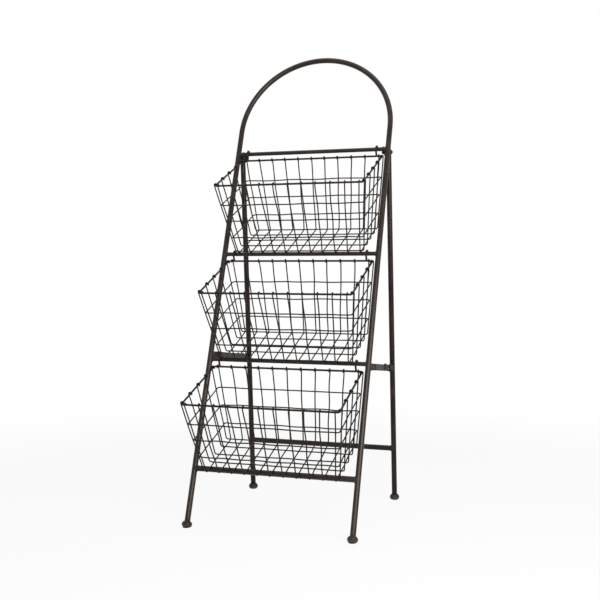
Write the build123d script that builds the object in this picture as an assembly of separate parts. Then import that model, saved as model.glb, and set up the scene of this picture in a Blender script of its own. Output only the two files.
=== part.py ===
import os
from math import asin, atan2, cos, degrees, hypot, radians, sin, sqrt, tan

from build123d import *

os.makedirs("parts", exist_ok=True)

# Tubes and rods of the two frames
tube_radius = 8.0
tube_wall = 1.5
rod_radius = 6.0
weld_gap = 0.05
fit_clearance = 0.05

# Front frame: two raked legs joined by a round arch
front_half_span = 237.8
rake = 20.0
top_bar_height = 1066.0
arch_rise = 72.0
top_tier = 310.0
middle_tier = 305.5
bottom_tier = 297.5
arch_centre_height = top_bar_height + arch_rise
second_bar_height = top_bar_height - top_tier
third_bar_height = second_bar_height - middle_tier
bottom_bar_height = third_bar_height - bottom_tier

# Rear frame, which turns on the two pivot bolts
rear_inset = 3.8
rear_lean = 4.5
pivot_drop = 7.0
pivot_setback = 26.6
rear_leg_above_pivot = 6.0
rear_bar_height = 160.0
rear_half_span = front_half_span - rear_inset
pivot_height = top_bar_height - pivot_drop

# Pivot bolts, nuts and lugs
bolt_radius = 3.0
bolt_head_radius = 6.5
bolt_head_height = 4.5
lug_thickness = 5.0
lug_end_radius = 10.0
lug_bar_radius = 8.5
lug_gap = 0.4
nut_radius = 5.0
nut_height = 5.0
bolt_end = 2.0
bolt_gap = 0.3

# Feet, flared from the tube to a flat sole
foot_height = 16.5
foot_shoulder_radius = 9.0
foot_widest_radius = 14.6
foot_widest_height = 7.2
foot_sole_radius = 10.5
foot_spigot = 20.0
flare_bulge = 1.6
edge_round = 1.1

# Stays between the front and the rear legs, hinged in front and hooked at the rear
stay_below_bar = 6.5
stay_fall = 35.0
stay_inset = 45.0
left_stay_rise = 19.5
stay_half_height = 9.0
stay_thickness = 3.0
stay_off_leg = 1.5
stay_pin_radius = 3.0
stay_head_radius = 4.5
stay_head_height = 2.0
knuckle_radius = 6.0
knuckle_room = 7.5
knuckle_gap = 0.3
middle_knuckle = 4.0
catch_clearance = 0.5
catch_floor = -2.0
catch_gap = 1.0
catch_room = 12.0
hook_curl = 30.0
stay_front_height = third_bar_height - stay_below_bar
stay_rear_height = stay_front_height - stay_fall
stay_plane = rear_half_span - stay_off_leg

# Baskets, all three alike
rim_radius = 2.75
wire_radius = 1.75
rim_side_gap = 7.8
rim_length = 236.0
rim_corner = 6.0
rim_drop = 17.0
rim_behind_clear = 0.45
depth = 215.5
side_taper = 25.0
bottom_rear = 52.0
bottom_front = 237.0
bottom_bend = 6.0
hoop_depths = (0.288, 0.522, 0.773)
hoop_corner = 5.0
long_wire_count = 11
long_wire_inset = 11.5
cross_wire_count = 5
cross_wire_inset = 7.9
wrap_gap = 0.15
wrap_turn = 235.0
cross_gap = 0.1
hook_inset = 17.7
hook_tip = 8.0
hook_gap = 0.3
rest_gap = 0.3
rim_half_width = front_half_span - tube_radius - rim_side_gap
bottom_half_width = rim_half_width - side_taper


def on_front(height, x=0.0):
    return Vector(x, height * tan(radians(rake)), height)


pivot = on_front(pivot_height) + Vector(0, pivot_setback, 0)


def on_rear(height, x=0.0):
    return Vector(x, pivot.Y + (pivot_height - height) * tan(radians(rear_lean)), height)


def swept(path, radius):
    start = Plane(origin=path @ 0, z_dir=path % 0)
    return sweep(start * Circle(radius), path=path)


def cylinder(start, end, radius):
    return extrude(Plane(origin=start, z_dir=end - start) * Circle(radius), (end - start).length)


def dome(base, height, radius):
    ball = (radius**2 + height**2) / (2 * abs(height))
    way = 1 if height > 0 else -1
    centre = base + height - way * ball
    middle = asin(radius / ball) / 2
    return ThreePointArc(
        (base, radius), (centre + way * ball * cos(middle), ball * sin(middle)), (base + height, 0)
    )


def left_and_right(solid):
    return {"left": mirror(solid, about=Plane.YZ), "right": solid}


# Front tube, swept in its raked plane and open at both feet
front_plane = Plane(origin=(0, 0, 0), x_dir=(1, 0, 0), z_dir=(0, -cos(radians(rake)), sin(radians(rake))))
arch_centre = arch_centre_height / cos(radians(rake))
arch_top = arch_centre + front_half_span
front_path = front_plane * Wire([
    Line((-front_half_span, foot_height), (-front_half_span, arch_centre)).edge(),
    ThreePointArc((-front_half_span, arch_centre), (0, arch_top), (front_half_span, arch_centre)).edge(),
    Line((front_half_span, arch_centre), (front_half_span, foot_height)).edge(),
])
front_frame_tube = swept(front_path, tube_radius) - swept(front_path, tube_radius - tube_wall)


# Bars, each end cut to sit on the legs
def between(at, height, half_span, radius, bore=0.0):
    bar = cylinder(at(height, -half_span), at(height, half_span), radius)
    if bore:
        bar -= cylinder(at(height, -half_span), at(height, half_span), bore)
    for side in (-1, 1):
        low = at(height - 4 * tube_radius, side * half_span)
        high = at(height + 4 * tube_radius, side * half_span)
        bar -= cylinder(low, high, tube_radius + weld_gap)
    return bar


tube_bore = tube_radius - tube_wall
top_bar = between(on_front, top_bar_height, front_half_span, rod_radius)
second_bar = between(on_front, second_bar_height, front_half_span, rod_radius)
third_bar = between(on_front, third_bar_height, front_half_span, rod_radius)
bottom_bar = between(on_front, bottom_bar_height, front_half_span, tube_radius, tube_bore)
rear_cross_bar = between(on_rear, rear_bar_height, rear_half_span, tube_radius, tube_bore)

# Rear leg, domed shut at the top, with a cross hole for the pivot bolt
rear_up = (on_rear(pivot_height) - on_rear(0)).normalized()
rear_bottom = on_rear(0, rear_half_span) + rear_up * foot_height
rear_top = on_rear(pivot_height, rear_half_span) + rear_up * rear_leg_above_pivot
rear_leg = cylinder(rear_bottom, rear_top, tube_radius) + Pos(rear_top) * Sphere(tube_radius)
rear_leg -= cylinder(rear_bottom, rear_top, tube_bore) + Pos(rear_top) * Sphere(tube_bore)
right_pivot = Vector(rear_half_span, pivot.Y, pivot.Z)
across = Vector(2 * tube_radius, 0, 0)
rear_leg -= cylinder(right_pivot - across, right_pivot + across, bolt_radius + fit_clearance)
rear_legs = left_and_right(rear_leg)


# Feet, turned about the leg and cut flat by the floor
def foot(lean, half_span, at):
    flare = ThreePointArc(
        (foot_shoulder_radius, foot_height),
        (
            (foot_shoulder_radius + foot_widest_radius) / 2 + flare_bulge,
            (foot_height + foot_widest_height) / 2,
        ),
        (foot_widest_radius, foot_widest_height),
    )
    edge = ThreePointArc(
        (foot_widest_radius, foot_widest_height),
        (foot_widest_radius - edge_round, foot_widest_height / 2),
        (foot_sole_radius, 0),
    )
    spigot_radius = tube_bore - fit_clearance
    outline = Polyline(
        (foot_sole_radius, 0),
        (foot_sole_radius, -foot_height / 2),
        (0, -foot_height / 2),
        (0, foot_height + foot_spigot),
        (spigot_radius, foot_height + foot_spigot),
        (spigot_radius, foot_height),
        (foot_shoulder_radius, foot_height),
    )
    profile = Plane.XZ * make_face([*outline.edges(), *flare.edges(), *edge.edges()])
    turned = revolve(profile, Axis.Z)
    placed = Location(at(0, half_span), (lean, 0, 0)) * turned
    below = Pos(half_span, at(0).Y, -foot_height) * Box(4 * foot_height, 4 * foot_height, 2 * foot_height)
    return placed - below


front_feet = left_and_right(foot(-rake, front_half_span, on_front))
rear_feet = left_and_right(foot(rear_lean, rear_half_span, on_rear))


# Room for a bar in the lugs welded beside it
def bar_room(height):
    return cylinder(on_front(height), on_front(height, front_half_span), rod_radius + weld_gap)


# Hinge lug welded behind the top bar
lug_outer = rear_half_span - tube_radius - lug_gap
lug_inner = lug_outer - lug_thickness
top_bar_centre = on_front(top_bar_height)
lug_plane = Plane(origin=(lug_inner, 0, 0), x_dir=(0, 1, 0), z_dir=(1, 0, 0))
lug_shape = make_hull(
    (Pos(pivot.Y, pivot.Z) * Circle(lug_end_radius)).edges()
    + (Pos(top_bar_centre.Y, top_bar_centre.Z) * Circle(lug_bar_radius)).edges()
)
hinge_lug = extrude(lug_plane * lug_shape, lug_thickness)
hinge_lug -= bar_room(top_bar_height)
hinge_lug -= cylinder(pivot, right_pivot, bolt_radius + fit_clearance)
lug_back = (pivot - top_bar_centre).normalized()
lug_trim = Plane(origin=top_bar_centre + Vector(lug_inner, 0, 0), x_dir=(1, 0, 0), z_dir=-lug_back)
hinge_lug -= extrude(lug_trim * Rectangle(4 * lug_thickness, 4 * lug_end_radius), 4 * lug_end_radius)
hinge_lugs = left_and_right(hinge_lug)

# Pivot bolt from the domed head outside the rear leg to the nut inside the lug
head_base = rear_half_span + tube_radius + bolt_gap
nut_outer = lug_inner - bolt_gap
bolt_tip = nut_outer - nut_height - bolt_end
bolt_profile = make_face([
    *Polyline(
        (head_base + bolt_head_height, 0),
        (bolt_tip, 0),
        (bolt_tip, bolt_radius),
        (head_base, bolt_radius),
        (head_base, bolt_head_radius),
    ).edges(),
    *dome(head_base, bolt_head_height, bolt_head_radius).edges(),
])
pivot_bolts = left_and_right(Pos(0, pivot.Y, pivot.Z) * revolve(bolt_profile, Axis.X))
nut_plane = Plane(origin=(nut_outer, pivot.Y, pivot.Z), x_dir=(0, 1, 0), z_dir=(-1, 0, 0))
nut_shape = RegularPolygon(nut_radius, 6, major_radius=False) - Circle(bolt_radius + fit_clearance)
pivot_nuts = left_and_right(extrude(nut_plane * nut_shape, nut_height))

catch_offset = stay_pin_radius + catch_clearance + stay_thickness / 2
hook_inner = stay_pin_radius + catch_clearance
hook_outer = hook_inner + stay_thickness
pin_hole = stay_pin_radius + fit_clearance
knuckle_edge = middle_knuckle + knuckle_gap
catch_top = catch_floor - catch_gap


def upright(x, start, end, low, high):
    return Pos(x, (start + end) / 2, (low + high) / 2) * Box(stay_thickness, end - start, high - low)


def barrel(x, y, low, high, radius):
    return Pos(x, y, low) * extrude(Circle(radius), high - low)


# Pin along Z with a low domed head at each end
def headed_pin(x, y, low, high):
    high_head = dome(high, stay_head_height, stay_head_radius)
    low_head = dome(low, -stay_head_height, stay_head_radius)
    outline = Polyline(
        (low, stay_head_radius), (low, stay_pin_radius), (high, stay_pin_radius), (high, stay_head_radius)
    )
    base = Line((low - stay_head_height, 0), (high + stay_head_height, 0))
    profile = make_face([*low_head.edges(), *outline.edges(), *high_head.edges(), *base.edges()])
    return Pos(x, y, 0) * Rot(0, -90, 0) * revolve(profile, Axis.X)


# Strap with the hinge's middle knuckle in front and a hook round the catch pin at the rear
def stay_strap(reach):
    strap = upright(0, knuckle_room, reach - knuckle_room, -stay_half_height, stay_half_height)
    strap += upright(0, 0, knuckle_room, -middle_knuckle, middle_knuckle)
    strap += barrel(0, 0, -middle_knuckle, middle_knuckle, knuckle_radius)
    strap += upright(0, reach - knuckle_room, reach, catch_floor, stay_half_height)
    wedge = Polygon(
        (0, 0),
        (2 * hook_outer * sin(radians(hook_curl)), 2 * hook_outer * cos(radians(hook_curl))),
        (-2 * hook_outer, 2 * hook_outer),
        (-2 * hook_outer, 0),
        align=None,
    )
    hook = (Circle(hook_outer) - Circle(hook_inner)) & wedge
    strap += Pos(catch_offset, reach, catch_floor) * extrude(hook, stay_half_height - catch_floor)
    return strap - barrel(0, 0, -middle_knuckle, middle_knuckle, pin_hole)


# Front lug with the hinge's outer two knuckles
def front_stay_lug():
    lug = upright(0, -stay_inset, 0, -stay_half_height, stay_half_height)
    lug -= upright(0, -knuckle_room, knuckle_room, -knuckle_edge, knuckle_edge)
    lug += barrel(0, 0, knuckle_edge, stay_half_height, knuckle_radius)
    lug += barrel(0, 0, -stay_half_height, -knuckle_edge, knuckle_radius)
    return lug - barrel(0, 0, -stay_half_height, stay_half_height, pin_hole)


# Rear lug with a low knuckle that carries the catch pin
def rear_stay_lug(reach):
    lug = upright(catch_offset, reach + catch_room, reach + stay_inset, -stay_half_height, stay_half_height)
    lug += upright(catch_offset, reach, reach + catch_room, -stay_half_height, catch_top)
    lug += barrel(catch_offset, reach, -stay_half_height, catch_top, knuckle_radius)
    return lug - barrel(catch_offset, reach, -stay_half_height, catch_top, pin_hole)


def leg_beside(at, height, half_span):
    low = at(height - 4 * tube_radius, half_span)
    high = at(height + 4 * tube_radius, half_span)
    return cylinder(low, high, tube_radius + weld_gap)


# Right-hand stay, made with its hinge pin along Z at the origin and its strap along Y, then set in place
def stay(rise):
    start = on_front(stay_front_height + rise)
    end = on_rear(stay_rear_height + rise)
    slope = degrees(atan2(end.Z - start.Z, end.Y - start.Y))
    reach = (end - start).length - 2 * stay_inset
    hinge = start + (end - start).normalized() * stay_inset + Vector(stay_plane, 0, 0)
    place = Location(hinge, (slope, 0, 0))
    front_lug = place * front_stay_lug() - leg_beside(on_front, start.Z, front_half_span)
    front_lug -= bar_room(third_bar_height)
    rear_lug = place * rear_stay_lug(reach) - leg_beside(on_rear, end.Z, rear_half_span)
    high = stay_half_height + weld_gap
    pieces = {
        "stay_strap": place * stay_strap(reach),
        "front_stay_lug": max(front_lug.solids(), key=lambda solid: solid.center().Y),
        "rear_stay_lug": min(rear_lug.solids(), key=lambda solid: solid.center().Y),
        "stay_hinge_pin": place * headed_pin(0, 0, -high, high),
        "stay_catch_pin": place * headed_pin(catch_offset, reach, -high, high + catch_clearance),
    }
    return pieces, hinge, slope


right_stay, right_hinge, right_slope = stay(0)
left_stay, left_hinge, left_slope = stay(left_stay_rise)

# Basket, made with its rim level and the carrying bar along X through the origin
wrap_radius = rim_radius + wire_radius + wrap_gap
back = rod_radius + rim_behind_clear + wrap_radius + wire_radius
rim_level = -rim_drop
long_level = rim_level - depth
wire_pitch = 2 * wire_radius + cross_gap
cross_level = long_level + wire_pitch
rim_front = back + rim_length


def touch(corner, centre, turn):
    reach = centre - corner
    swing = degrees(asin(wrap_radius / reach.length)) * turn
    return corner + reach.normalized().rotate(Axis.Z, swing) * sqrt(reach.length**2 - wrap_radius**2)


def wrap(centre, start, turn):
    start_angle = degrees(atan2(start.Y - centre.Y, start.X - centre.X))
    return CenterArc(centre, wrap_radius, start_angle, turn).edge()


def wrapped_wire(plane, front_corner, rear_corner, front_rim, rear_rim):
    front_touch = touch(front_corner, front_rim, 1)
    rear_touch = touch(rear_corner, rear_rim, -1)
    run = FilletPolyline(front_touch, front_corner, rear_corner, rear_touch, radius=bottom_bend)
    front_wrap = wrap(front_rim, front_touch, -wrap_turn)
    rear_wrap = wrap(rear_rim, rear_touch, wrap_turn)
    return swept(plane * Wire([front_wrap, *run.edges(), rear_wrap]), wire_radius)


# Rim wire, a closed rounded rectangle
rim_outline = RectangleRounded(2 * rim_half_width, rim_length, rim_corner).wire()
rim_wire = swept(Pos(0, -back - rim_length / 2, rim_level) * rim_outline, rim_radius)

# Hooks over the carrying bar, each leg cut to sit on the rear run of the rim
seat = rod_radius + rim_radius + hook_gap
hook_shift = (back - seat) / (1 + sqrt(2))
hook_reach = back - 2 * hook_shift
hook_half = rim_half_width - hook_inset


def hook(side):
    x = side * hook_half
    behind = Vector(x, hook_reach, -hook_shift)
    ahead = Vector(x, -back, -hook_shift)
    path = Wire([
        Line(Vector(x, hook_reach, -hook_tip), behind).edge(),
        ThreePointArc(behind, Vector(x, -hook_shift, hook_reach), ahead).edge(),
        Line(ahead, Vector(x, -back, rim_level)).edge(),
    ])
    rear_run = cylinder(Vector(0, -back, rim_level), Vector(2 * x, -back, rim_level), rim_radius + weld_gap)
    return swept(path, rim_radius) - rear_run


# Lengthwise wires, fanned in towards the bottom
def long_wire(number):
    half_count = (long_wire_count - 1) / 2
    share = (number - half_count) / half_count
    rim_x = share * (rim_half_width - long_wire_inset)
    bottom_x = rim_x * bottom_half_width / rim_half_width
    height = hypot(rim_x - bottom_x, depth)
    plane = Plane(origin=(bottom_x, 0, long_level), x_dir=(0, 1, 0), z_dir=(depth, 0, bottom_x - rim_x))
    return wrapped_wire(
        plane,
        Vector(-bottom_front, 0),
        Vector(-bottom_rear, 0),
        Vector(-rim_front, height),
        Vector(-back, height),
    )


# Crosswise wires, resting on the lengthwise ones inside the basket
def cross_wire(number):
    share = number / (cross_wire_count - 1)
    rim_y = -back - cross_wire_inset - share * (rim_length - 2 * cross_wire_inset)
    bottom_y = -bottom_rear - bottom_bend - share * (bottom_front - bottom_rear - 2 * bottom_bend)
    rise = rim_level - cross_level
    height = hypot(rim_y - bottom_y, rise)
    plane = Plane(origin=(0, bottom_y, cross_level), x_dir=(1, 0, 0), z_dir=(0, -rise, rim_y - bottom_y))
    return wrapped_wire(
        plane,
        Vector(-bottom_half_width, 0),
        Vector(bottom_half_width, 0),
        Vector(-rim_half_width, height),
        Vector(rim_half_width, height),
    )


# Hoops, inside the upright wires
def inside_wall(corner, centre, turn, height):
    wall = touch(corner, centre, turn) - corner
    return corner.X + wall.X * height / wall.Y + turn * wire_pitch * wall.length / wall.Y


def hoop(share):
    height = depth * (1 - share)
    rise = rim_level - cross_level
    front = inside_wall(Vector(-bottom_front, 0), Vector(-rim_front, depth), 1, height)
    rear = inside_wall(Vector(-bottom_rear, 0), Vector(-back, depth), -1, height)
    half_width = inside_wall(
        Vector(bottom_half_width, 0), Vector(rim_half_width, rise), -1, height - wire_pitch
    )
    outline = RectangleRounded(2 * half_width, rear - front, hoop_corner).wire()
    return swept(Pos(0, (rear + front) / 2, long_level + height) * outline, wire_radius)


basket = {
    "rim": [rim_wire],
    "hooks": [hook(-1), hook(1)],
    "hoops": [hoop(share) for share in hoop_depths],
    "lengthwise_wires": [long_wire(number) for number in range(long_wire_count)],
    "cross_wires": [cross_wire(number) for number in range(cross_wire_count)],
}


# Each basket hangs from one bar and leans so that its bottom rests on the bar below
def basket_place(height, below_height, below_radius):
    spacing = (height - below_height) / cos(radians(rake))
    stack = rim_drop + depth + wire_radius + rest_gap + below_radius
    lean = 90 - degrees(asin(stack / spacing)) - rake
    return Location(on_front(height), (lean, 0, 0))


basket_places = {
    "top": basket_place(top_bar_height, second_bar_height, rod_radius),
    "middle": basket_place(second_bar_height, third_bar_height, rod_radius),
    "bottom": basket_place(third_bar_height, bottom_bar_height, tube_radius),
}

nodes = {
    "front_frame_tube": [front_frame_tube],
    "top_bar": [top_bar],
    "second_bar": [second_bar],
    "third_bar": [third_bar],
    "bottom_bar": [bottom_bar],
    "rear_cross_bar": [rear_cross_bar],
}
for side in ("left", "right"):
    nodes[f"front_{side}_foot"] = [front_feet[side]]
    nodes[f"rear_{side}_foot"] = [rear_feet[side]]
    nodes[f"rear_{side}_leg"] = [rear_legs[side]]
    nodes[f"{side}_hinge_lug"] = [hinge_lugs[side]]
    nodes[f"{side}_pivot_bolt"] = [pivot_bolts[side]]
    nodes[f"{side}_pivot_nut"] = [pivot_nuts[side]]
for name, piece in left_stay.items():
    nodes[f"left_{name}"] = [mirror(piece, about=Plane.YZ)]
for name, piece in right_stay.items():
    nodes[f"right_{name}"] = [piece]
for tier, place in basket_places.items():
    for name, solids in basket.items():
        nodes[f"{tier}_basket_{name}"] = [place * solid for solid in solids]

# The origin is the floor below the middle of the whole stand
everything = [solid for solids in nodes.values() for item in solids for solid in item.solids()]
extent = Compound(everything).bounding_box()
centred = Pos(0, -(extent.min.Y + extent.max.Y) / 2, 0)
for name, solids in nodes.items():
    pieces = [solid for item in solids for solid in (centred * item).solids()]
    export_step(Compound(pieces), f"parts/{name}.step")

offset = Vector(0, -(extent.min.Y + extent.max.Y) / 2, 0)
print("size", extent.size)
print("pivot", pivot + offset)
print("right stay hinge", right_hinge + offset, "slope", right_slope)
print("left stay hinge mirrored", left_hinge + offset, "slope", left_slope)
for tier, place in basket_places.items():
    print(tier, "bar", place.position + offset, "lean", place.orientation)
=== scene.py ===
import bpy
import numpy as np
from mathutils import Matrix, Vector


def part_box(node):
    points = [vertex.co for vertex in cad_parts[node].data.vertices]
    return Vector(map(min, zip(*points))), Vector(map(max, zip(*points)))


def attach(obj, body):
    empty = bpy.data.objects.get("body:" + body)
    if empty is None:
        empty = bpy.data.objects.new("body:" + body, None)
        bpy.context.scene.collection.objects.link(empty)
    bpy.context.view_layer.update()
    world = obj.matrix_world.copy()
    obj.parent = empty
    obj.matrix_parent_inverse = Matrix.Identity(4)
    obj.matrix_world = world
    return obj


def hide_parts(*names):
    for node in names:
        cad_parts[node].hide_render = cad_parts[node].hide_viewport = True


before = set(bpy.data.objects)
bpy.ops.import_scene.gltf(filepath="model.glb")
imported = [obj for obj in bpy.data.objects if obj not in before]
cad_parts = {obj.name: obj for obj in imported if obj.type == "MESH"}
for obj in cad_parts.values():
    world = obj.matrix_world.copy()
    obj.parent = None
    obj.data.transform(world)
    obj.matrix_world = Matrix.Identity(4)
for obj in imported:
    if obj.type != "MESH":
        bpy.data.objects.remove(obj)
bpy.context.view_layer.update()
print("frame loaded,", len(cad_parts), "nodes")

rad = np.radians
mm = 0.001  # shapes are worked out in millimetres and put into meshes in metres
offAxis = (0.48, 0.62, 0.62)  # no run, bend or axis here lies along this slant
rng = np.random.default_rng(11)


def unit(vector):  # vectors along the last axis, each made one long
    vector = np.asarray(vector, float)
    return vector / np.linalg.norm(vector, axis=-1, keepdims=True)


def around(count):  # angles of a whole turn
    return np.linspace(0, 2 * np.pi, count, endpoint=False)


def ringOf(angle, across, over):  # a circle of radius one on two axes: cos a * across + sin a * over
    return np.cos(angle)[:, None] * across + np.sin(angle)[:, None] * over


def flatRing(angle):  # the same in a plane: (cos a, sin a)
    return np.stack([np.cos(angle), np.sin(angle)], -1)


def gridFaces(rows, cols, closeRows=False):  # quads between neighbours of a grid, closed along its columns
    row = np.arange(rows if closeRows else rows - 1)[:, None]
    col = np.arange(cols)[None, :]
    nextRow, nextCol = (row + 1) % rows, (col + 1) % cols
    corners = [row * cols + col, row * cols + nextCol, nextRow * cols + nextCol, nextRow * cols + col]
    return np.stack(corners, -1).reshape(-1, 4)


def fanFaces(pole, ring, flip):  # triangles from one pole to a closed ring
    after = np.roll(ring, -1)
    edges = (after, ring) if flip else (ring, after)
    return np.stack([np.full(len(ring), pole), *edges], -1)


def closeEnds(points, sides, first, last):  # rings on a grid, with a fan to a pole at both ends
    count = len(points)
    lastRing = np.arange(count - sides, count)
    fans = [fanFaces(count, np.arange(sides), True), fanFaces(count + 1, lastRing, False)]
    return np.concatenate([points, [first, last]]), [gridFaces(count // sides, sides), *fans]


def shapeOf(points, faces, caps=(), rub=None, heat=None):
    zeros = np.zeros(len(points))
    rub = zeros if rub is None else rub
    heat = zeros if heat is None else heat
    return {"points": points, "faces": faces, "caps": list(caps), "rub": rub, "heat": heat}


def tube(path, radius, sides=12, closed=False, rolled=0.5, rub=0.0, heat=0.0):
    # a circle carried along a path: path + radius * (cos a * across + sin a * over), its ends rolled in
    path = np.asarray(path, float)
    ahead = np.roll(path, -1, 0) - np.roll(path, 1, 0)
    if not closed:
        ahead[0], ahead[-1] = path[1] - path[0], path[-1] - path[-2]
    ahead = unit(ahead)
    radii, rubs, heats = (np.broadcast_to(value, len(path)) for value in (radius, rub, heat))
    centres = path
    if not closed:
        turn = rad(np.array([90.0, 65.0, 40.0, 18.0, 0.0]))
        inset, drop = rolled * (1 - np.sin(turn)), rolled * (1 - np.cos(turn))
        first = path[0] + inset[:, None] * ahead[0]
        last = path[-1] - inset[::-1, None] * ahead[-1]
        centres = np.concatenate([first, path[1:-1], last])
        radii = np.concatenate([radii[0] - drop, radii[1:-1], radii[-1] - drop[::-1]])
        times = np.ones(len(path), int)
        times[[0, -1]] = len(turn)  # an end's values serve every ring of its rolled edge
        ahead, rubs, heats = (np.repeat(values, times, 0) for values in (ahead, rubs, heats))
    across = unit(np.cross(ahead, offAxis))
    over = np.cross(ahead, across)
    ring = ringOf(around(sides), across[:, None], over[:, None])
    points = (centres[:, None] + radii[:, None, None] * ring).reshape(-1, 3)
    rubs, heats = np.repeat(rubs, sides), np.repeat(heats, sides)
    faces = [gridFaces(len(centres), sides, closed)]
    if not closed:
        points, faces = closeEnds(points, sides, path[0], path[-1])
        rubs, heats = np.append(rubs, rubs[[0, -1]]), np.append(heats, heats[[0, -1]])
    return shapeOf(points, faces, rub=rubs, heat=heats)


def turned(profile, origin, axis, sides, rub):
    # a profile of (along, radius) turned round an axis:
    # origin + along * axis + radius * (cos a * across + sin a * over)
    profile = np.asarray(profile, float)
    axis = unit(axis)
    across = unit(np.cross(axis, offAxis))
    ring = ringOf(around(sides), across, np.cross(axis, across))
    points = origin + profile[:, 0, None, None] * axis + profile[:, 1, None, None] * ring
    points, faces = closeEnds(points.reshape(-1, 3), sides, *(origin + profile[[0, -1], :1] * axis))
    rubs = np.repeat(rub, sides)
    return shapeOf(points, faces, rub=np.append(rubs, rubs[[0, -1]]))


def plate(outline, thickness, rolled, place):
    # an outline carried through the plate's thickness, drawn in by a quarter round at both faces
    outline = np.asarray(outline, float)
    step = unit(np.roll(outline, -1, 0) - np.roll(outline, 1, 0))
    outward = np.stack([step[:, 1], -step[:, 0]], -1)
    turn = rad(np.linspace(0, 90, 5))
    inset = rolled * (1 - np.sin(turn))
    level = -thickness / 2 + rolled * (1 - np.cos(turn))
    wear = turn / turn[-1]
    wear[-1] = 0  # rubbed on the round edges, not on the sides
    inset, wear = np.append(inset, inset[::-1]), np.append(wear, wear[::-1])
    level = np.append(level, -level[::-1])
    flat = outline - inset[:, None, None] * outward
    rows, cols = flat.shape[:2]
    solid = np.concatenate([flat, np.broadcast_to(level[:, None, None], (rows, cols, 1))], -1).reshape(-1, 3)
    caps = [np.arange(cols)[::-1], (rows - 1) * cols + np.arange(cols)]
    return shapeOf(place(solid), [gridFaces(rows, cols)], caps, rub=np.repeat(wear, cols))


def laid(origin, along, up, through):  # puts a plate's (along, up, through) in the stand's own frame
    return lambda solid: origin + solid @ np.array([along, up, through])


def blobs(centres, first, second, third, rows=6, cols=8):
    # ellipsoids: centre + sin t cos a * first + sin t sin a * second + cos t * third, poles closed by fans
    tilt = np.linspace(np.pi, 0, rows + 2)[1:-1, None]
    angle = around(cols)
    x, y, z = np.sin(tilt) * np.cos(angle), np.sin(tilt) * np.sin(angle), np.cos(tilt) + 0 * angle
    ball, faces = closeEnds(np.stack([x, y, z], -1).reshape(-1, 3), cols, (0, 0, -1), (0, 0, 1))
    axes = np.stack([np.broadcast_to(axis, centres.shape) for axis in (first, second, third)], 1)
    points = (centres[:, None] + np.einsum("pk,nkc->npc", ball, axes)).reshape(-1, 3)
    starts = (np.arange(len(centres)) * len(ball))[:, None, None]
    faces = [(block + starts).reshape(-1, block.shape[1]) for block in faces]
    return shapeOf(points, faces, heat=np.ones(len(points)))


def mirrored(shape):  # the same shape on the other side of the stand
    return shapeOf(
        shape["points"] * [-1, 1, 1], [face[:, ::-1] for face in shape["faces"]],
        [cap[::-1] for cap in shape["caps"]], shape["rub"], shape["heat"],
    )


def handed(word, shapes):  # shapes of the right side, turned over for the left
    return [mirrored(shape) for shape in shapes] if word == "left" else shapes


def roundedRoute(corners, radius, closed=False, step=9.0, arcStep=12.0):
    # straight runs joined by arcs of one radius: centre + radius * (sin b * ahead - cos b * inward)
    corners = np.asarray(corners, float)
    before, after = np.roll(corners, 1, 0), np.roll(corners, -1, 0)
    into, out = unit(corners - before), unit(after - corners)
    turn = np.arccos(np.clip((into * out).sum(-1), -1, 1))
    cut = radius * np.tan(turn / 2)
    if not closed:
        cut[[0, -1]] = 0
    runs = []
    for k in range(len(corners)):
        if closed or 0 < k < len(corners) - 1:
            start = corners[k] - cut[k] * into[k]
            inward = unit(out[k] - into[k] * np.cos(turn[k]))
            angle = np.linspace(0, turn[k], max(3, int(np.degrees(turn[k]) / arcStep) + 2))[:, None]
            runs.append(start + radius * (inward - np.cos(angle) * inward + np.sin(angle) * into[k]))
        else:
            runs.append(corners[k:k + 1])
        if closed or k < len(corners) - 1:
            begin = corners[k] + cut[k] * out[k]
            end = after[k] - cut[(k + 1) % len(corners)] * out[k]
            share = np.linspace(0, 1, max(2, int(np.linalg.norm(end - begin) / step) + 1))[1:-1, None]
            runs.append(begin + share * (end - begin))
    return np.concatenate(runs)


def addObject(name, data):
    obj = bpy.data.objects.new(name, data)
    bpy.context.scene.collection.objects.link(obj)
    return obj


def makePiece(name, shapes, body, finish, nodes=()):
    starts = np.cumsum([0] + [len(shape["points"]) for shape in shapes])
    points = np.concatenate([shape["points"] for shape in shapes]) * mm
    faces, caps = [], []
    for shape, start in zip(shapes, starts):
        for block in shape["faces"]:
            faces += (block + start).tolist()
        caps += [(cap + start).tolist() for cap in shape["caps"]]
    mesh = bpy.data.meshes.new(name)
    mesh.from_pydata(points.tolist(), [], faces + caps)
    mesh.polygons.foreach_set("use_smooth", np.arange(len(faces) + len(caps)) < len(faces))
    for attribute in ("rub", "heat"):
        values = np.concatenate([shape[attribute] for shape in shapes]).astype(np.float32)
        mesh.attributes.new(attribute, "FLOAT", "POINT").data.foreach_set("value", values)
    mesh.materials.append(finish)
    obj = addObject(name, mesh)
    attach(obj, body)
    if nodes:
        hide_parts(*nodes)


def feed(node, values):  # inputs of a node, each linked to another node's output or given a plain value
    for word, value in values.items():
        if isinstance(value, bpy.types.NodeSocket):
            node.id_data.links.new(value, node.inputs[word])
        else:
            node.inputs[word].default_value = value


def mathNode(tree, operation, first, second):
    node = tree.nodes.new("ShaderNodeMath")
    node.operation = operation
    feed(node, {0: first, 1: second})
    return node.outputs[0]


def rangeNode(tree, value, source=(0.0, 1.0), target=(0.0, 1.0), kind="LINEAR"):  # spreads source over target
    node = tree.nodes.new("ShaderNodeMapRange")
    node.interpolation_type = kind
    words = ("Value", "From Min", "From Max", "To Min", "To Max")
    feed(node, dict(zip(words, (value, *source, *target))))
    return node.outputs["Result"]


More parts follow.
